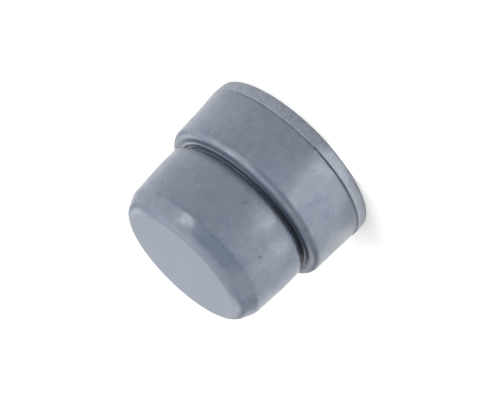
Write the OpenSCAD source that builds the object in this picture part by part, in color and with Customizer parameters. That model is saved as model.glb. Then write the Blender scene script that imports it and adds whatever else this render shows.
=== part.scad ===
// Moulded rubber stopper for a small evacuated sample tube.
// It stands on its head, with the nose up: the axis is Z and the head's face lies at Z = 0.
// The whole part is one revolved section, whose corners are rounded by true arcs.

/* [Head] */
// Largest diameter, over the trimmed rim
head_d = 13.5; // [13.2:0.05:15]
// Height from the head's face to its shoulder
head_h = 5.08; // [4.2:0.02:6.5]
// Height of the trimmed rim, from the face to the parting line
rim_h = 0.9; // [0.5:0.05:1.6]
// How much narrower the rim is across at the face
rim_taper = 0.15; // [0:0.01:0.4]
// Rounding of the face's outer edge
rim_edge_r = 0.08; // [0.02:0.01:0.3]
// Step from the trimmed rim in to the moulded collar, on the radius
flash_w = 0.1; // [0.04:0.01:0.2]
// Height over which that step slopes
flash_slope = 0.06; // [0.02:0.01:0.15]
// Rounding of the rim's lip and of the corner behind it
flash_r = 0.03; // [0.01:0.005:0.05]
// Draft of the collar's wall, in degrees
collar_draft = 1.8; // [0:0.1:3]
// Rounding of the shoulder
shoulder_r = 0.5; // [0.2:0.05:0.7]

/* [Groove] */
// Depth of the groove, from the sealing land down to the neck
groove_depth = 0.7; // [0.5:0.05:1]
// Width of the groove, from the shoulder to the underside of the plug
groove_w = 0.42; // [0.34:0.02:0.8]
// Rounding where the neck runs into the plug
neck_r = 0.08; // [0.02:0.01:0.15]
// Rounding where the parting ridge slopes up into the neck
cove_r = 0.2; // [0.05:0.01:0.22]
// Height of that slope
cove_h = 0.2; // [0.12:0.01:0.28]
// Distance of the parting ridge from the neck, on the radius
ridge_out = 0.4; // [0.34:0.01:0.46]
// Width of the parting ridge at its foot
ridge_w = 0.24; // [0.16:0.01:0.3]
// Height of the parting ridge
ridge_h = 0.09; // [0.04:0.01:0.16]
// Rounding of the ridge's crest
crest_r = 0.04; // [0.01:0.01:0.08]
// Depth to which the shoulder dishes in to the foot of the ridge
dish = 0.1; // [0.02:0.01:0.15]
// Rounding of the ridge's feet
foot_r = 0.08; // [0.02:0.01:0.1]

/* [Plug] */
// Diameter of the sealing land
plug_d = 11.7; // [11.2:0.05:12]
// Length from the underside of the plug to its nose
plug_h = 5.46; // [4.8:0.02:7]
// Rounding of the plug's back edge
lip_r = 0.58; // [0.2:0.02:0.7]
// Height of the straight sealing land, above that edge
land_h = 1; // [0.7:0.05:1.5]
// Draft of the wall above the land, in degrees
plug_draft = 3.8; // [0:0.1:5]
// Height of the lead-in cone below the nose
lead_h = 1.32; // [0.9:0.02:1.6]
// Slope of the lead-in cone from the axis, in degrees
lead_angle = 25; // [12:1:40]
// Rounding between the wall and the lead-in cone
lead_r = 0.8; // [0.2:0.1:1.6]
// Rounding of the nose's edge
nose_r = 0.88; // [0.3:0.02:1]

/* [Needle well] */
// Diameter of the well in the head
well_d = 6; // [4.6:0.1:8]
// Depth of the well
well_depth = 4.8; // [3:0.1:6]
// Rounding of the well's floor
well_floor_r = 0.7; // [0.2:0.05:1]
// Rounding of the well's mouth
well_mouth_r = 0.35; // [0.1:0.05:0.6]

/* [Hidden] */
$fn = 120;

// Share of an edge that the roundings at its two ends may take up together
edge_share = 0.96;
// How far a rounding's disc stands over the edges it meets, so that it crosses them cleanly
overlap = 0.0002;

// Radii along the section
rim_x = head_d / 2;
face_x = rim_x - rim_taper / 2;
collar_x = rim_x - flash_w;
shoulder_x = collar_x - (head_h - rim_h) * tan(collar_draft);
land_x = plug_d / 2;
neck_x = land_x - groove_depth;
ridge_x = neck_x + ridge_out;
well_x = well_d / 2;

// Heights along the section
foot_z = head_h - dish;
underside_z = head_h + groove_w;
land_z = underside_z + lip_r + land_h;
nose_z = underside_z + plug_h;
lead_z = nose_z - lead_h;

// Radii that follow from a draft
lead_x = land_x - (lead_z - land_z) * tan(plug_draft);
nose_x = lead_x - lead_h * tan(lead_angle);

// The head's corners, each as [radius, height, rounding], from the well out to the shoulder
HEAD = [
    [0, well_depth, 0],
    [well_x, well_depth, well_floor_r],
    [well_x, 0, well_mouth_r],
    [face_x, 0, rim_edge_r],
    [rim_x, rim_h - flash_slope, flash_r],
    [collar_x, rim_h, flash_r],
    [shoulder_x, head_h, shoulder_r]
];
// The groove's corners, in over the parting ridge and up the neck
GROOVE = [
    [ridge_x + ridge_w / 2, foot_z, foot_r],
    [ridge_x, foot_z + ridge_h, crest_r],
    [ridge_x - ridge_w / 2, foot_z, foot_r],
    [neck_x, foot_z + cove_h, cove_r],
    [neck_x, underside_z, neck_r]
];
// The plug's corners, out round the back edge and up to the nose
PLUG = [
    [land_x, underside_z, lip_r],
    [land_x, land_z, 0],
    [lead_x, lead_z, lead_r],
    [nose_x, nose_z, nose_r],
    [0, nose_z, 0]
];

function unit(v) = v / norm(v);
function at(list, i) = let (p = list[(i + len(list)) % len(list)]) [p[0], p[1]];
function to_last(list, i) = unit(at(list, i - 1) - at(list, i));
function to_next(list, i) = unit(at(list, i + 1) - at(list, i));
function half_angle(list, i) = acos(to_last(list, i) * to_next(list, i)) / 2;

// Above zero where the outline turns outwards at corner i, and below zero where it turns in
function turn(list, i) = let (a = to_last(list, i), b = to_next(list, i)) b[0] * a[1] - b[1] * a[0];

// Length of edge that the rounding asked for at corner i takes up on each side
function reach(list, i) = list[(i + len(list)) % len(list)][2] / tan(half_angle(list, i));

// Share of their size to which the roundings at corners i and i + 1 fit the edge between them
function fits(list, i) = min(1, edge_share * norm(at(list, i + 1) - at(list, i))
    / max(reach(list, i) + reach(list, i + 1), overlap));

// Rounding of corner i, held back where a short wall leaves it no room
function fillet(list, i) = list[i][2] * min(fits(list, i - 1), fits(list, i));

// The corner itself, or the two ends of the straight cut across it where it is rounded
function cut(list, i) =
    let (back = fillet(list, i) / tan(half_angle(list, i)))
    back == 0 ? [at(list, i)]
        : [at(list, i) + back * to_last(list, i), at(list, i) + back * to_next(list, i)];

// Discs that round the corners which turn the way of side: 1 is outwards and -1 is in
module discs(list, side) {
    for (i = [0 : len(list) - 1])
        if (list[i][2] > 0 && side * turn(list, i) > 0)
            translate(at(list, i) + unit(to_last(list, i) + to_next(list, i))
                * fillet(list, i) / sin(half_angle(list, i)))
                circle(fillet(list, i) + overlap);
}

// The outline through a list of corners, with each one rounded
module rounded(list) {
    difference() {
        union() {
            polygon([for (i = [0 : len(list) - 1]) each cut(list, i)]);
            discs(list, 1);
        }
        discs(list, -1);
    }
}

// Moulded in one piece: head, groove and plug are one revolved section
module stopper() {
    color([0.52, 0.55, 0.6]) rotate_extrude() rounded(concat(HEAD, GROOVE, PLUG));
}

stopper();
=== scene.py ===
# %% [markdown]
# # A moulded rubber stopper
# The real stopper is one piece of blue-grey rubber, pressed in a mould and then trimmed round its rim.
# Everything about its look comes from one outline turned about an axis, the small marks that
# moulding and trimming leave, and a satin skin under very soft light, with some light and shade painted into
# the colour. The lesson makes them in that order.
#
# The imported CAD model is loaded first. It gives the body that the piece rides on and the box it stays inside.

# %% Load the frame
import math

import bmesh
import bpy
from mathutils import Matrix, Vector


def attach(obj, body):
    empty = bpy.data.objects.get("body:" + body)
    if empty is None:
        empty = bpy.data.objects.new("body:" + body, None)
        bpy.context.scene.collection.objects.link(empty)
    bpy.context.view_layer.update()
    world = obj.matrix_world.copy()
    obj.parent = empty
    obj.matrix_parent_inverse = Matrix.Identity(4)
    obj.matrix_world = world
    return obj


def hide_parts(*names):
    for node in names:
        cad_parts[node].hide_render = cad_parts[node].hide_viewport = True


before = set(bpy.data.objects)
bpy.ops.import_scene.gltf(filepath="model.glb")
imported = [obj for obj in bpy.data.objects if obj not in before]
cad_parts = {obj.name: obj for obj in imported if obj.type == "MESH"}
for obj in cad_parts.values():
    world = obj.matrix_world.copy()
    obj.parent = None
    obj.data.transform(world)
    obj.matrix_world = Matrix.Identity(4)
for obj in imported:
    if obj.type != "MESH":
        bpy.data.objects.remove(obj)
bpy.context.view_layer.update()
MM = 0.001

# %% [markdown]
# ## The camera
# The stopper stands on its head. The camera looks from a little above the horizon and is rolled well past
# upright, so in the picture the nose points down to the left. A long lens from close by keeps the ellipses of
# the two ends almost alike. The camera comes first, because it says which marks will show at all.

# %% Aim the camera
VIEW_RISE = math.radians(18.32)
VIEW_ROLL = math.radians(-135.08)
VIEW_DISTANCE = 151.1 * MM
LOOK_AT = Vector((0, 0, 4.497 * MM))
LENS, SENSOR = 163.64, 36.0
PICTURE_WIDTH = 495
AIM_RIGHT, AIM_UP = 0.33, 0.67
NEAREST, FARTHEST = 0.01, 10

to_camera = Vector((0, -math.cos(VIEW_RISE), math.sin(VIEW_RISE)))
side, up = Vector((1, 0, 0)), Vector((0, math.sin(VIEW_RISE), math.cos(VIEW_RISE)))
cam_right = math.cos(VIEW_ROLL) * side + math.sin(VIEW_ROLL) * up
cam_up = -math.sin(VIEW_ROLL) * side + math.cos(VIEW_ROLL) * up
step_of_aim = VIEW_DISTANCE * SENSOR / LENS / PICTURE_WIDTH

camera = bpy.data.objects.new("camera", bpy.data.cameras.new("camera"))
bpy.context.scene.collection.objects.link(camera)
camera.data.lens, camera.data.sensor_width = LENS, SENSOR
camera.data.clip_start, camera.data.clip_end = NEAREST, FARTHEST
turned = Matrix((cam_right, cam_up, to_camera)).transposed().to_4x4()
camera_at = LOOK_AT + VIEW_DISTANCE * to_camera + step_of_aim * (AIM_RIGHT * cam_right + AIM_UP * cam_up)
camera.matrix_world = Matrix.Translation(camera_at) @ turned
bpy.context.scene.camera = camera
print("camera at, mm:", [round(x / MM, 1) for x in camera_at])

# %% [markdown]
# ## The outline
# A stopper is a turned shape, so it could be made from cylinders and bevels, or cut from a solid. Tracing half
# of its section and spinning that is the shortest way, and every corner gets its own radius.
#
# The piece is modelled in millimetres and brought to metres at the end, because the operators work to about
# a millionth of a unit and the finest corners here are hundredths of a millimetre.
# Each row is radius, height and corner radius, from the floor of the needle well out over the head and up.

# %% Name the corners of the half section
WELL = [(0, 4.8, 0), (3.0, 4.8, 0.7), (3.0, 0, 0.35)]
CUT_BAND = [(6.67, 0, 0.07), (6.743, 0.84, 0.022)]
FLASH = [(6.662, 0.902, 0.006), (6.585, 0.918, 0.008), (6.648, 0.942, 0.012)]
SHOULDER = [(6.519, 5.08, 0.56)]
RIDGE = [(5.71, 4.97, 0.08), (5.56, 5.08, 0.045), (5.44, 4.98, 0.06)]
NECK = [(5.22, 5.12, 0.08), (5.22, 5.31, 0.06)]
PLUG = [(5.85, 5.31, 0.60), (5.85, 7.08, 0), (5.68, 9.64, 0.8), (5.065, 10.96, 0.88), (0, 10.96, 0)]
HALF_SECTION = WELL + CUT_BAND + FLASH + SHOULDER + RIDGE + NECK + PLUG
RIM_RADIUS, RIM_TOP = CUT_BAND[1][0], CUT_BAND[1][1]
NOSE_HEIGHT = PLUG[-1][1]
print(len(HALF_SECTION), "corners, nose at", NOSE_HEIGHT, "mm")

# %% [markdown]
# ## Tracing it
# The start is a plane whose four corners are merged into one point. That point is extruded from corner to
# corner, as one would do it by hand, and then every corner is rounded by a vertex bevel.

# %% Trace the outline
def pick(mesh, wanted):
    """In edit mode, selects just the vertices whose place the test accepts, and says how many."""
    bpy.ops.mesh.select_mode(type="VERT")
    bpy.ops.mesh.select_all(action="DESELECT")
    edit = bmesh.from_edit_mesh(mesh)
    chosen = [v for v in edit.verts if wanted(v.co)]
    for v in chosen:
        v.select_set(True)
    edit.select_flush(True)
    bmesh.update_edit_mesh(mesh)
    return len(chosen)


bpy.ops.object.select_all(action="DESELECT")
bpy.ops.mesh.primitive_plane_add(size=1)
stopper = bpy.context.object
stopper.name = stopper.data.name = "moulded_stopper"
bpy.ops.object.mode_set(mode="EDIT")
bpy.ops.mesh.merge(type="CENTER")
bpy.ops.transform.translate(value=(0, 0, WELL[0][1]))
for (r0, z0, _), (r1, z1, _) in zip(HALF_SECTION, HALF_SECTION[1:]):
    bpy.ops.mesh.extrude_region_move(TRANSFORM_OT_translate={"value": (r1 - r0, 0, z1 - z0)})
bpy.ops.object.mode_set(mode="OBJECT")
print("outline:", len(stopper.data.vertices), "points,", len(stopper.data.edges), "edges")

# %% [markdown]
# A corner of radius R that turns by an angle A leaves its sides R tan(A / 2) before the corner, and that is
# the offset the bevel wants. Longer arcs get more steps.

# %% Round the corners
ARC_STEP, WELL_ARC_STEP, LEAST_STEPS = 0.045, 0.135, 3
SAME_POINT = 1e-4


def turn_at(before, corner, after):
    """The angle by which the outline turns at a corner."""
    first = Vector((corner[0] - before[0], corner[1] - before[1]))
    second = Vector((after[0] - corner[0], after[1] - corner[1]))
    return first.angle(second)


bpy.ops.object.mode_set(mode="EDIT")
for before, corner, after in zip(HALF_SECTION, HALF_SECTION[1:], HALF_SECTION[2:]):
    radius = corner[2]
    if radius == 0:
        continue
    turn = turn_at(before, corner, after)
    arc_step = WELL_ARC_STEP if corner in WELL else ARC_STEP
    spot = Vector((corner[0], 0, corner[1]))
    pick(stopper.data, lambda co: (co - spot).length < SAME_POINT)
    bpy.ops.mesh.bevel(
        affect="VERTICES",
        offset_type="OFFSET",
        offset=radius * math.tan(turn / 2),
        segments=max(LEAST_STEPS, math.ceil(radius * turn / arc_step)),
        profile=0.5,
    )
bpy.ops.object.mode_set(mode="OBJECT")
print("rounded outline:", len(stopper.data.vertices), "points")

# %% [markdown]
# ## Even rings
# The marks that come later push the skin in and out, so the straight parts need points too. Each long edge is
# subdivided until its pieces are short. The cut band gets the shortest, for its grain. Parts that hardly show,
# the well and the flat of the head, stay coarse.

# %% Subdivide the long edges
BAND_STEP, FINE_STEP, NOSE_STEP, COARSE_STEP = 0.07, 0.135, 0.3, 0.6
WELL_RADIUS, WELL_DEPTH, _ = WELL[1]
OUTER_SKIN = 6.5
FLAT, SAME_EDGE = 1e-3, 1e-5


def ring_step(middle):
    """How long an edge may be, from where its middle lies."""
    in_the_well = middle.x < WELL_RADIUS + 0.3 and middle.z < WELL_DEPTH + 0.1
    if middle.z < FLAT or in_the_well:
        return COARSE_STEP
    if middle.z > NOSE_HEIGHT - FLAT:
        return NOSE_STEP
    return BAND_STEP if middle.x > OUTER_SKIN and middle.z < RIM_TOP else FINE_STEP


long_edges = []
for edge in stopper.data.edges:
    a, b = (stopper.data.vertices[i].co for i in edge.vertices)
    middle = (a + b) / 2
    cuts = math.ceil((a - b).length / ring_step(middle)) - 1
    if cuts > 0:
        long_edges.append((middle, cuts))

bpy.ops.object.mode_set(mode="EDIT")
bpy.ops.mesh.select_mode(type="EDGE")
for middle, cuts in long_edges:
    bpy.ops.mesh.select_all(action="DESELECT")
    edit = bmesh.from_edit_mesh(stopper.data)
    for edge in edit.edges:
        if ((edge.verts[0].co + edge.verts[1].co) / 2 - middle).length < SAME_EDGE:
            edge.select_set(True)
    bmesh.update_edit_mesh(stopper.data)
    bpy.ops.mesh.subdivide(number_cuts=cuts)
bpy.ops.object.mode_set(mode="OBJECT")
print("outline with rings:", len(stopper.data.vertices), "points")

# %% [markdown]
# ## Spinning it
# One full turn about Z closes the shape. The last copy of the outline lies on the first, and both ends of it
# lie on the axis, so the doubles are merged before the normals are made to point outwards.

# %% Spin the outline
TURN_STEPS = 360

bpy.ops.object.mode_set(mode="EDIT")
bpy.ops.mesh.select_all(action="SELECT")
bpy.ops.mesh.spin(steps=TURN_STEPS, angle=math.tau, center=(0, 0, 0), axis=(0, 0, 1))
bpy.ops.mesh.select_all(action="SELECT")
bpy.ops.mesh.remove_doubles(threshold=SAME_POINT)
bpy.ops.mesh.normals_make_consistent(inside=False)
bpy.ops.object.mode_set(mode="OBJECT")
print("spun:", len(stopper.data.vertices), "vertices,", len(stopper.data.polygons), "faces")

# %% [markdown]
# ## Where the rim has torn
# The trimmed rim is not the same all round. On one side the flash has pulled away from the collar and left an
# open, dark line; on the other the line is fine and fades out. A bevel or a boolean would have to be redone for
# every change, so the few rings at the foot of the collar are simply moved, by an amount that depends on where
# they are round the rim.

# %% Say where the rim has torn
TORN_FROM, TORN_FULLY = -0.08, -0.24
FADED_FROM, FADED_FULLY = 0.72, 1.22
BEHIND_FROM, BEHIND_FULLY = 2.3, 1.7


def ease(x):
    """0 below 0, 1 above 1, and a smooth curve between."""
    x = min(1, max(0, x))
    return x * x * (3 - 2 * x)


def fade(value, zero_at, one_at):
    """0 where the value is at or before one figure, and 1 where it is at or past the other."""
    return ease((value - zero_at) / (one_at - zero_at))


def round_the_rim(co):
    """How far round the rim a point is, in radians, from the front towards +X."""
    return math.atan2(co.x, -co.y)


def torn(angle):
    """1 where the flash has torn open, and 0 where it hasn't."""
    return fade(angle, TORN_FROM, TORN_FULLY) * fade(-angle, BEHIND_FROM, BEHIND_FULLY)


def faded(angle):
    """1 where the line has faded out, and 0 where it shows."""
    return fade(angle, FADED_FROM, FADED_FULLY) * fade(angle, BEHIND_FROM, BEHIND_FULLY)


for angle in (-2.0, -1.0, 0.0, 1.0, 2.0):
    print("at", angle, "torn", round(torn(angle), 2), "faded", round(faded(angle), 2))

# %% [markdown]
# On the torn side the shelf and the bottom of the crack are drawn in and down, and the rim's edge is worn a
# little lower. On the faded side the foot of the collar is drawn out to the rim, over almost two millimetres.

# %% Open the flash line on one side
CORNER_REACH = 0.035
SHELF_STEP, CRACK_STEP, RIM_STEP = (-0.040, -0.075), (-0.085, -0.030), (-0.012, -0.045)
FILL_FROM, FILL_HEIGHT, COLLAR_AT_FILL, INSIDE_THE_RIM = 0.01, 1.90, 6.592, 0.002


def move_ring(corner, step, share):
    """Moves the rings near a corner of the section by a step in radius and height, as far as the share says."""
    moved = 0
    for vertex in stopper.data.vertices:
        radius = math.hypot(vertex.co.x, vertex.co.y)
        off = math.hypot(radius - corner[0], vertex.co.z - corner[1])
        near = fade(off, CORNER_REACH, CORNER_REACH / 3)
        if near > 0:
            pull = near * share(round_the_rim(vertex.co))
            vertex.co.x *= 1 + step[0] * pull / radius
            vertex.co.y *= 1 + step[0] * pull / radius
            vertex.co.z += step[1] * pull
            moved += 1
    return moved


def fill_foot(rim_radius):
    """On the faded side, draws the foot of the collar out to the rim, so that one runs into the other."""
    moved = 0
    for vertex in stopper.data.vertices:
        radius, above = math.hypot(vertex.co.x, vertex.co.y), vertex.co.z - RIM_TOP
        if radius > OUTER_SKIN and FILL_FROM < above < FILL_HEIGHT:
            aim = rim_radius + (COLLAR_AT_FILL - rim_radius) * above / FILL_HEIGHT
            grow = 1 + (aim / radius - 1) * faded(round_the_rim(vertex.co))
            vertex.co.x *= grow
            vertex.co.y *= grow
            moved += 1
    return moved


shelf, crack, _ = FLASH
rim = (RIM_RADIUS, RIM_TOP)
print("torn side:", move_ring(shelf, SHELF_STEP, torn), move_ring(crack, CRACK_STEP, torn), "points moved")
print("worn rim:", move_ring(rim, RIM_STEP, torn))
print("faded side:", fill_foot(RIM_RADIUS - INSIDE_THE_RIM))

# %% [markdown]
# ## Small marks
# Dust in the mould, a pinch by tweezers and a slip of the knife leave pits, pimples and one short crease, none
# wider than a grain of salt, and handling scuffs the cone.
# Each row is the line that the mark follows, half its width and how far it stands out, in millimetres, and how
# pale it is, above zero, or how dark, below. The dark of the pits and the crease is painted shadow.

# %% List the marks
PITS = [
    ([(-3.144, -4.841, 8.245)], 0.14, -0.05, -0.6),
    ([(4.787, -3.168, 8.727)], 0.12, -0.035, -0.4),
    ([(5.068, -2.582, 9.515)], 0.10, -0.02, -0.3),
    ([(-1.867, -6.302, 3.372)], 0.10, -0.015, -0.15),
    ([(-0.70, -6.66, 0.880), (-0.80, -6.65, 0.874)], 0.11, -0.07, -0.95),
    ([(-6.61, -0.81, 0.90), (-6.66, -0.12, 0.90), (-6.63, 0.58, 0.90)], 0.12, -0.03, -0.8),
]
PIMPLES = [
    ([(-4.629, -4.711, 2.331)], 0.15, 0.02, 0.16),
    ([(5.965, -2.813, 2.638)], 0.14, 0.02, 0.14),
    ([(-0.93, -6.575, 1.02)], 0.12, 0.025, 0.45),
    ([(-0.637, -5.815, 6.309)], 0.15, 0.012, 0.06),
]
CREASES = [
    ([(0.102, -5.849, 6.872), (-0.02, -5.85, 6.68), (-0.14, -5.849, 6.50)], 0.065, -0.04, -0.5),
]
SCUFFS = [
    ([(1.818, -4.799, 10.697), (1.431, -4.91, 10.714), (1.103, -4.975, 10.731)], 0.13, -0.005, -0.09),
    ([(2.30, -4.84, 10.36), (1.75, -5.02, 10.42), (1.25, -5.17, 10.44)], 0.24, 0.0015, 0.02),
    ([(2.05, -5.03, 10.12), (1.4, -5.25, 10.14)], 0.20, -0.0015, 0.02),
    ([(1.615, -4.972, 10.581), (1.45, -5.05, 10.55)], 0.14, 0.002, 0.01),
    ([(2.911, -4.525, 10.283)], 0.22, 0.0015, 0.015),
]
MARKS = [([Vector(p) for p in line], *shape) for line, *shape in PITS + PIMPLES + CREASES + SCUFFS]
print(len(MARKS), "marks")

# %% [markdown]
# The marks are too small for the rings. A sculpted mark would be hard to place and to repeat, so the faces
# round each one are subdivided first, and then a Displace modifier, held to the mark by a vertex group, pushes
# the skin in or out.

# %% Press the marks
def distance_to(line, co):
    """How far a point is from a broken line, or from a single point."""
    if len(line) == 1:
        return (co - line[0]).length
    best = math.inf
    for a, b in zip(line, line[1:]):
        along = min(1, max(0, (co - a).dot(b - a) / (b - a).length_squared))
        best = min(best, (co - a - (b - a) * along).length)
    return best


def push_skin(weights, out, texture=None, middle=0.0):
    """Pushes the skin out with a Displace modifier, by a weight of 0 to 1 for each vertex, and applies it."""
    group = stopper.vertex_groups.new(name="pushed")
    for index, weight in weights.items():
        group.add([index], weight, "REPLACE")
    push = stopper.modifiers.new("push", "DISPLACE")
    push.vertex_group, push.strength, push.mid_level = group.name, out, middle
    if texture:
        push.texture, push.texture_coords = texture, "LOCAL"
    bpy.ops.object.modifier_apply(modifier=push.name)
    stopper.vertex_groups.clear()
    return len(weights)


MARK_CUTS, MARK_MARGIN = 3, 0.13
bpy.ops.object.mode_set(mode="EDIT")
near_marks = pick(
    stopper.data,
    lambda co: any(distance_to(line, co) < half + MARK_MARGIN for line, half, *_ in MARKS),
)
bpy.ops.mesh.subdivide(number_cuts=MARK_CUTS)
bpy.ops.object.mode_set(mode="OBJECT")
print(near_marks, "points subdivided, now", len(stopper.data.vertices))

for line, half, out, _ in MARKS:
    weights = {}
    for vertex in stopper.data.vertices:
        far = distance_to(line, vertex.co) / half
        if far < 1:
            weights[vertex.index] = (1 - far * far) ** 2
    push_skin(weights, out)

# %% [markdown]
# ## The cut band and the skin
# The knife leaves a fine grain on the rim's band, and the mould leaves the skin very slightly wavy, which shows
# only where a light grazes it. Both are Displace modifiers over a procedural cloud texture. The band is only
# ever pushed in, so the rim keeps its size.

# %% Roughen the band and ripple the skin
CUT_DEPTH, CUT_SIZE = 0.016, 0.16
WAVE_DEPTH, WAVE_SIZE = 0.014, 0.55


def clouds(name, size):
    """A cloud texture with spots of the given size, in millimetres."""
    texture = bpy.data.textures.new(name, "CLOUDS")
    texture.noise_scale, texture.noise_depth = size, 1
    texture.noise_basis = "IMPROVED_PERLIN"
    return texture


def band_weight(co):
    """1 on the cut band, and 0 at its edges and everywhere else."""
    across = fade(co.z, 0, 0.12) * fade(co.z, RIM_TOP + 0.03, RIM_TOP)
    return across * fade(co.xy.length, OUTER_SKIN, OUTER_SKIN + 0.1)


def skin_weight(co):
    """1 on the moulded walls, and 0 on the band, the nose's flat, the head's face and the well."""
    if co.xy.length < WELL_RADIUS + 0.2 and co.z < WELL_DEPTH + 1.2:
        return 0
    return fade(co.z, 0.95, 1.10) * fade(co.z, NOSE_HEIGHT, NOSE_HEIGHT - 0.1)


band, skin = {}, {}
for vertex in stopper.data.vertices:
    cut, moulded = band_weight(vertex.co), skin_weight(vertex.co)
    if cut > 0:
        band[vertex.index] = cut
    if moulded > 0:
        skin[vertex.index] = moulded
print("band:", push_skin(band, CUT_DEPTH, clouds("cut_grain", CUT_SIZE), middle=1.0))
print("skin:", push_skin(skin, WAVE_DEPTH, clouds("mould_waves", WAVE_SIZE), middle=0.5))

# %% [markdown]
# ## Painted light and shade, and the marks' own tones
# A pit that small would still look too clean, so each pit and the crease gets painted shadow. The groove gets
# painted shade, darkest on the torn side. The tip of the parting ridge gets a painted highlight, and the cut
# band on the torn side painted light. So each mark and each of these places writes its tone into an attribute
# of the mesh, and a second attribute holds the painted shade of the groove and of the open flash line. The
# rubber reads both later. A painted image would need the mesh unfolded; an attribute just stays on its points.
#
# Each row of the places of painted shade is how dark the place is painted on the whole side and on the torn
# side, the angles between which the one turns into the other, the radii between which it fades in, and the
# heights between which it fades in and out again.

# %% Name the places of painted shade
TURNS, TURNS_LATE, NOT_BEHIND = (0.5, -0.7), (-0.85, -1.10), (-3.0, -2.4)
# Painted shade: in each of these places the rubber's colour is drawn towards a shadow tone.
PAINTED_SHADE_PLACES = {
    "neck": (0.20, 0.70, TURNS, (5.44, 5.34), (4.9, 5.0), (5.7, 5.5)),
    "plug_corner": (0.30, 0.60, TURNS, (6.0, 5.9), (5.2, 5.3), (5.62, 5.34)),
    "plug_edge": (0.40, 0.12, TURNS, (6.0, 5.9), (5.3, 5.4), (6.12, 5.82)),
    "shoulder": (0.0, 0.80, TURNS, (6.2, 5.75), (4.9, 4.95), (5.6, 5.3)),
    "lip": (0.0, 0.35, TURNS, (6.05, 6.20), (4.45, 4.75), (5.2, 5.1)),
    "end_of_the_tear": (0.0, 0.70, TURNS_LATE, (5.9, 5.8), (4.8, 4.9), (5.62, 5.52)),
}


def painted_groove_shade(co):
    """How much painted shade the groove gets at a point: the darkest of the places that reach it, and 0 outside
    them.
    """
    radius, angle = co.xy.length, round_the_rim(co)
    shade = 0
    for on_whole, on_torn, turns, inwards, rising, falling in PAINTED_SHADE_PLACES.values():
        dark = on_whole + (on_torn - on_whole) * fade(angle, *turns) * fade(angle, *NOT_BEHIND)
        here = fade(radius, *inwards) * fade(co.z, *rising) * fade(co.z, *falling)
        shade = max(shade, dark * here)
    return shade


for angle in (-1.5, 0.0, 1.5):
    neck = Vector((5.3 * math.sin(angle), -5.3 * math.cos(angle), 5.2))
    print("neck at", angle, "is dark by", round(painted_groove_shade(neck), 2))

# %% [markdown]
# The painted highlight on the ridge, the painted light on the band and the painted shade in the crack follow
# the same idea, each in its own stretch of the rim. All of them are written point by point, and a point outside
# them keeps the value 0.

# %% Write the tones
GROOVE_FOOT, GROOVE_HEAD = 4.4, 6.2
# The open crack on the torn side gets painted shade.
CRACK_FOOT, CRACK_HEAD, CRACK_PAINTED_SHADE = 0.76, 0.96, 0.7
# The ridge's tip gets a painted highlight and the torn side of the band painted light, both towards the pale
# tone.
RIDGE_HIGHLIGHT, BAND_LIGHT, BAND_LIGHT_END = 0.30, 0.12, 0.40


def painted_ridge_highlight(co):
    """How strong the painted highlight on the parting ridge's tip is, on the side that hasn't torn."""
    tip_radius, tip_height, _ = RIDGE[1]
    off = math.hypot(co.xy.length - tip_radius, co.z - tip_height + 0.03)
    return RIDGE_HIGHLIGHT * fade(round_the_rim(co), -0.1, 0.4) * fade(off, 0.105, 0.035)


def painted_band_light(co):
    """How much painted light the cut band gets: on the torn side, and most towards the end of the tear."""
    angle = round_the_rim(co)
    return (BAND_LIGHT + (BAND_LIGHT_END - BAND_LIGHT) * fade(angle, -0.5, -1.0)) * torn(angle)


def painted_crack_shade(co):
    """0 outside the flash line's open crack, and painted shade inside it."""
    return CRACK_PAINTED_SHADE * torn(round_the_rim(co)) * fade(co.xy.length, 6.70, 6.66) * fade(co.z, 0.955, 0.935)


# The tone holds pale dust and wear, painted shadow in pits and the crease, the ridge's painted highlight and
# the band's painted light.
tones = stopper.data.attributes.new("mark_and_painted_light_tone", "FLOAT", "POINT")
for line, half, _, tone in MARKS:
    for vertex in stopper.data.vertices:
        far = distance_to(line, vertex.co) / half
        if tone and far < 1:
            tones.data[vertex.index].value += tone * (1 - far * far)
painted_shades = stopper.data.attributes.new("painted_groove_shade", "FLOAT", "POINT")
for vertex in stopper.data.vertices:
    co, on_the_rim = vertex.co, vertex.co.xy.length > OUTER_SKIN
    if GROOVE_FOOT < co.z < GROOVE_HEAD:
        painted_shades.data[vertex.index].value = painted_groove_shade(co)
        tones.data[vertex.index].value += painted_ridge_highlight(co)
    if on_the_rim and 0.02 < co.z < RIM_TOP - 0.01:
        tones.data[vertex.index].value += painted_band_light(co)
    if on_the_rim and CRACK_FOOT < co.z < CRACK_HEAD:
        painted_shades.data[vertex.index].value = painted_crack_shade(co)
print(sum(1 for t in tones.data if t.value), "points with a tone of their own")
print(sum(1 for t in painted_shades.data if t.value), "points in shade")

# %% [markdown]
# ## To metres
# The finished mesh is brought to metres about the origin, in edit mode, so the object itself stays unscaled.
# Then the faces are shaded smooth, except over sharp edges, and the piece is tied to the CAD model's solid.

# %% Finish the mesh
SHARPEST_SMOOTH = math.radians(40)

bpy.ops.object.mode_set(mode="EDIT")
bpy.ops.mesh.select_all(action="SELECT")
bpy.ops.transform.resize(value=(MM, MM, MM), center_override=(0, 0, 0))
bpy.ops.object.mode_set(mode="OBJECT")
bpy.ops.object.shade_smooth_by_angle(angle=SHARPEST_SMOOTH)

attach(stopper, "root")
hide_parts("stopper")
print(stopper.name, "is", [round(x / MM, 2) for x in stopper.dimensions], "mm")

# %% [markdown]
# ## The rubber
# The rubber is a dull blue-grey with a satin skin. Its own colour is dark: much of what one sees is the pale
# room mirrored softly in it, so the roughness matters more than the colour. Everything is procedural and is
# measured in millimetres from the object's own coordinates, so it stays with the piece from any side.

# %% Start the rubber
rubber = bpy.data.materials.new("satin_rubber")
rubber.use_nodes = True
tree = rubber.node_tree
shader = tree.nodes["Principled BSDF"]


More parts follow.
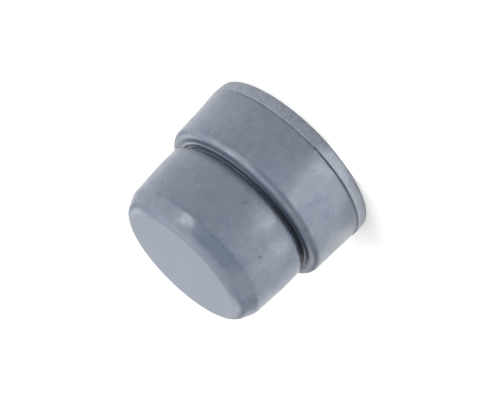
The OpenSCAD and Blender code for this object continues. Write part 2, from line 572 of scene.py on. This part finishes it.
def node(kind, **values):
    """Adds a node, sets its properties, and sets the inputs given by number as i0, i1 and so on."""
    made = tree.nodes.new(kind)
    for name, value in values.items():
        if name[0] == "i" and name[1:].isdigit():
            made.inputs[int(name[1:])].default_value = value
        else:
            setattr(made, name, value)
    return made


def link(source, target):
    tree.links.new(source, target)


own_place = node("ShaderNodeTexCoord")
in_mm = node("ShaderNodeVectorMath", operation="SCALE")
in_mm.inputs["Scale"].default_value = 1 / MM
link(own_place.outputs["Object"], in_mm.inputs[0])
print("rubber: base nodes", len(tree.nodes))

# %% [markdown]
# Rubber is never quite even, so its colour drifts slowly over the piece and carries a fine speckle. Both are
# cloud patterns that make the colour a little darker or paler. Four helpers keep the node tree readable: a
# cloud pattern, a ramp, a blend, and a sum or product.

# %% Mix the patterns
def noise_at(scale, detail, stretch=(1, 1, 1)):
    """A cloud pattern with the given number of spots to the millimetre."""
    squeeze = node("ShaderNodeVectorMath", operation="MULTIPLY", i1=stretch)
    link(in_mm.outputs[0], squeeze.inputs[0])
    pattern = node("ShaderNodeTexNoise")
    pattern.inputs["Scale"].default_value = scale
    pattern.inputs["Detail"].default_value = detail
    link(squeeze.outputs[0], pattern.inputs["Vector"])
    return pattern.outputs[0]


def ramp(source, low, high, out_low, out_high):
    """Maps low to high onto out_low to out_high, and holds the ends."""
    made = node("ShaderNodeMapRange", i1=low, i2=high, i3=out_low, i4=out_high)
    link(source, made.inputs[0])
    return made.outputs[0]


def mix(kind, amount, first, second):
    """Blends two colours (RGBA) or two numbers (FLOAT) by an amount. Each may be a value or a socket."""
    made = node("ShaderNodeMix", data_type=kind)
    sockets = (0, 6, 7) if kind == "RGBA" else (0, 2, 3)
    for socket, value in zip(sockets, (amount, first, second)):
        if hasattr(value, "links"):
            link(value, made.inputs[socket])
        else:
            made.inputs[socket].default_value = value
    return made.outputs[2 if kind == "RGBA" else 0]


def maths(operation, first, second):
    """Adds or multiplies two sockets."""
    made = node("ShaderNodeMath", operation=operation)
    link(first, made.inputs[0])
    link(second, made.inputs[1])
    return made.outputs[0]


DRIFT, SPECKLE = 0.045, 0.025
drift = ramp(noise_at(0.33, 1), 0.3, 0.7, 1 - DRIFT, 1 + DRIFT)
speckle = ramp(noise_at(5.5, 1), 0.3, 0.7, 1 - SPECKLE, 1 + SPECKLE)
print("rubber: with patterns", len(tree.nodes))

# %% [markdown]
# The knife has cut through the blue skin on the band, so the colour there is a mottled grey; the height above
# the floor says where the band is. The marks come from the attribute that was written on the mesh: above zero
# for pale dust and wear, the painted highlight on the ridge and the painted light on the band, and below zero
# for the painted shadow in pits and the crease. The painted shade of the groove and the crack goes over them
# all.

# %% Colour the rubber
RUBBER_BLUE = (0.088, 0.110, 0.150, 1)
CUT_DARK = (0.125, 0.145, 0.180, 1)
CUT_PALE = (0.200, 0.222, 0.262, 1)
# The pale tone is the colour of dust, and also of the painted highlight on the ridge and the painted light on
# the band.
DUST_AND_HIGHLIGHT = (0.38, 0.415, 0.475, 1)
SHADOW_TONE = (0.012, 0.014, 0.018, 1)
# The painted shade of the groove and the crack draws the colour at most this far towards SHADOW_TONE.
DARKEST_PAINTED_SHADE = 0.8
BAND_BLUR = 0.03

height = node("ShaderNodeSeparateXYZ")
link(in_mm.outputs[0], height.inputs[0])
on_band = ramp(height.outputs["Z"], RIM_TOP - BAND_BLUR, RIM_TOP + BAND_BLUR, 1, 0)
cut_grey = mix("RGBA", ramp(noise_at(7.5, 2), 0.38, 0.62, 0, 1), CUT_DARK, CUT_PALE)
shaded = node("ShaderNodeVectorMath", operation="SCALE")
link(mix("RGBA", on_band, RUBBER_BLUE, cut_grey), shaded.inputs[0])
link(maths("MULTIPLY", drift, speckle), shaded.inputs["Scale"])

mark_and_light_tone = node("ShaderNodeAttribute", attribute_name="mark_and_painted_light_tone").outputs["Fac"]
dust_and_highlight = mix("RGBA", ramp(mark_and_light_tone, 0, 1, 0, 1), shaded.outputs[0], DUST_AND_HIGHLIGHT)
# Below zero the colour goes towards SHADOW_TONE: painted shadow in the pits and the crease, and a darker scuff.
with_pit_shadow = mix("RGBA", ramp(mark_and_light_tone, 0, -1, 0, 1), dust_and_highlight, SHADOW_TONE)
# The painted shade of the groove and of the flash line's crack goes over everything else.
groove = node("ShaderNodeAttribute", attribute_name="painted_groove_shade").outputs["Fac"]
painted_groove_dark = mix("RGBA", ramp(groove, 0, 1, 0, DARKEST_PAINTED_SHADE), with_pit_shadow, SHADOW_TONE)
link(painted_groove_dark, shader.inputs["Base Color"])
print("rubber: with colour", len(tree.nodes))

# %% [markdown]
# The gloss: the skin is satin and slightly mottled, because the mould was. The cut band and the nose's rounded
# edge are duller, and where the groove has its painted shade its shine is cut down as well. Both the strength
# and the sharpness of the shine vary, because either alone would look like paint.

# %% Give it its skin
RUBBER_IOR = 1.5
SKIN_GLOSS, GROOVE_GLOSS, EDGE_GLOSS, BLOTCH = 0.75, 0.12, 0.7, 0.18
SHINIEST, DULLEST, NOSE_ROUGHNESS, CUT_ROUGHNESS = 0.27, 0.36, 0.31, 0.5

shader.inputs["IOR"].default_value = RUBBER_IOR
off_nose = ramp(height.outputs["Z"], NOSE_HEIGHT - 0.45, NOSE_HEIGHT - 0.1, 1, 0)
blotches = ramp(noise_at(1.7, 1, (1, 1, 0.7)), 0.35, 0.65, 1 - BLOTCH, 1 + BLOTCH)
gloss = maths("MULTIPLY", ramp(groove, 0, 1, SKIN_GLOSS, GROOVE_GLOSS), mix("FLOAT", off_nose, 1.0, blotches))
dull_edge = maths(
    "ADD",
    ramp(height.outputs["Z"], NOSE_HEIGHT - 0.5, NOSE_HEIGHT - 0.3, 1, EDGE_GLOSS),
    ramp(height.outputs["Z"], NOSE_HEIGHT - 0.05, NOSE_HEIGHT - 0.01, 0, 1 - EDGE_GLOSS),
)
link(maths("MULTIPLY", gloss, dull_edge), shader.inputs["Specular IOR Level"])
mottle = ramp(noise_at(1.3, 1.5), 0.32, 0.68, SHINIEST, DULLEST)
satin = mix("FLOAT", off_nose, NOSE_ROUGHNESS, mottle)
link(mix("FLOAT", on_band, satin, CUT_ROUGHNESS), shader.inputs["Roughness"])
print("rubber: with gloss", len(tree.nodes))

# %% [markdown]
# The bumps: only the finest grain, a few hundredths of a millimetre high at most. Everything larger is in the
# mesh, where it also changes the outline. The skin is faintly hammered, and the cut band carries the marks of
# the knife. Each bump builds on the one before.

# %% Grain it
HAMMERED, GRAIN, CUT_MARKS = 0.016, 0.0010, 0.030


def bump(high, pattern, where, under=None):
    """Raises a pattern by so many millimetres, to the share that a socket or a value gives."""
    made = node("ShaderNodeBump")
    made.inputs["Distance"].default_value = high * MM
    link(pattern, made.inputs["Height"])
    if hasattr(where, "links"):
        link(where, made.inputs["Strength"])
    else:
        made.inputs["Strength"].default_value = where
    if under:
        link(under, made.inputs["Normal"])
    return made.outputs[0]


hammered = bump(HAMMERED, noise_at(2.4, 1), off_nose)
grain = bump(GRAIN, noise_at(6.5, 1), 1, under=hammered)
cut_marks = bump(CUT_MARKS, noise_at(8.0, 2, (1, 1, 1.6)), on_band, under=grain)
link(cut_marks, shader.inputs["Normal"])
stopper.data.materials.append(rubber)
print("rubber: finished,", len(tree.nodes), "nodes")

# %% [markdown]
# ## The floor
# A plain white sheet, so large that its edge stays out of the picture. It is matt, and it comes out pure white
# under the lamps. A curved backdrop would do as well, but the walls would mirror its bend.

# %% Lay the floor
FLOOR_SIZE = 3
PAPER_WHITE = (0.72, 0.72, 0.72, 1)

bpy.ops.object.select_all(action="DESELECT")
bpy.ops.mesh.primitive_plane_add(size=FLOOR_SIZE)
floor = bpy.context.object
floor.name = "floor"
paper = bpy.data.materials.new("white_paper")
paper.use_nodes = True
sheet = paper.node_tree.nodes["Principled BSDF"]
sheet.inputs["Base Color"].default_value = PAPER_WHITE
sheet.inputs["Roughness"].default_value = 1
floor.data.materials.append(paper)
print("floor:", FLOOR_SIZE, "m wide")

# %% [markdown]
# ## The light
# A pale room gives the soft base, and wide round lamps half a metre off shape the two cylinders. The widest
# hangs overhead; the smallest is the window that glints on the shoulder's lip and on the bevel of the nose.
# The walls mirror the sheet and not the lamps, because the camera looks down at them. So narrow beams from
# straight above make bright patches on the sheet beside the stopper. Six of them lead away from the rim to
# one side of the front: they are the bright streak down both cylinders. Three lighten the side that has torn,
# and one the other side.
# A lamp's row is its direction from the front towards +X, its height above the horizon, its size in metres and
# its power in watts. A beam's row is where its patch lies and the patch's radius, in millimetres, and its
# power in watts.

# %% List the lights
LAMPS = [
    ("overhead", 0, 88, 0.90, 3.60),
    ("right_high", 100, 60, 0.60, 1.15),
    ("left_high", -85, 25, 0.50, 0.67),
    ("window", 42, 28, 0.13, 0.55),
    ("right_wall", 80, 27, 0.38, 0.56),
    ("right_low", 120, 14, 0.38, 0.38),
    ("back", 180, 22, 0.40, 0.29),
    ("back_right", 155, 25, 0.20, 0.18),
    ("back_left", -150, 30, 0.20, 0.20),
]
BEAMS = [
    ("near_beam", (-3.33, -8.06), 2.62, 5.6),
    ("middle_beam", (-5.27, -10.73), 2.8, 21.5),
    ("next_beam", (-15.5, -18.5), 5.0, 9.63),
    ("far_beam", (-13.8, -22.46), 7.5, 27.61),
    ("rim_beam", (-8.6, -7.2), 2.62, 9.07),
    ("left_beam", (-12.1, 2.35), 4.0, 3.40),
    ("far_left_beam", (-29.9, -9.6), 10.0, 20.0),
    ("left_patch", (-12.1, -6.4), 4.0, 3.20),
    ("right_patch", (12.7, -4.7), 4.0, 1.50),
    ("close_beam", (-6.2, -7.6), 2.62, 4.87),
]
print(len(LAMPS), "lamps and", len(BEAMS), "beams")

# %% [markdown]
# Every lamp faces the middle of the stopper, and every beam points straight down. None of them is seen by the
# camera itself. The room is an even white glow all round, and colours are shown as they are, without a film
# look, so the sheet can reach pure white.

# %% Hang the lights
LAMP_DISTANCE, BEAM_HEIGHT, BEAM_BLEND, ROOM = 0.5, 0.3, 0.6, 0.4
HALF_UP = Vector((0, 0, NOSE_HEIGHT / 2 * MM))


def towards(around, rise):
    """The direction that lies so many degrees round from the front and so many above the horizon."""
    around, rise = math.radians(around), math.radians(rise)
    return Vector((math.sin(around) * math.cos(rise), -math.cos(around) * math.cos(rise), math.sin(rise)))


def hang(name, kind, watts, at, back):
    """Hangs a lamp at a place, with its back in the given direction."""
    lamp = bpy.data.objects.new(name, bpy.data.lights.new(name, kind))
    bpy.context.scene.collection.objects.link(lamp)
    lamp.data.energy = watts
    lamp.visible_camera = False
    lamp.location = at
    lamp.rotation_euler = back.to_track_quat("Z", "Y").to_euler()
    return lamp


for name, around, rise, size, watts in LAMPS:
    away = towards(around, rise)
    lamp = hang(name, "AREA", watts, HALF_UP + LAMP_DISTANCE * away, away)
    lamp.data.shape, lamp.data.size = "DISK", size

for name, patch, radius, watts in BEAMS:
    patch = Vector((*patch, 0)) * MM
    beam = hang(name, "SPOT", watts, patch + Vector((0, 0, BEAM_HEIGHT)), Vector((0, 0, 1)))
    beam.data.spot_size = 2 * math.atan(radius * MM / BEAM_HEIGHT)
    beam.data.spot_blend, beam.data.shadow_soft_size = BEAM_BLEND, 0

world = bpy.data.worlds.new("studio")
world.use_nodes = True
glow = world.node_tree.nodes["Background"]
glow.inputs["Color"].default_value = (1, 1, 1, 1)
glow.inputs["Strength"].default_value = ROOM
bpy.context.scene.world = world
bpy.context.scene.view_settings.view_transform = "Standard"
print(len(bpy.data.lights), "lights hung, room at", ROOM)
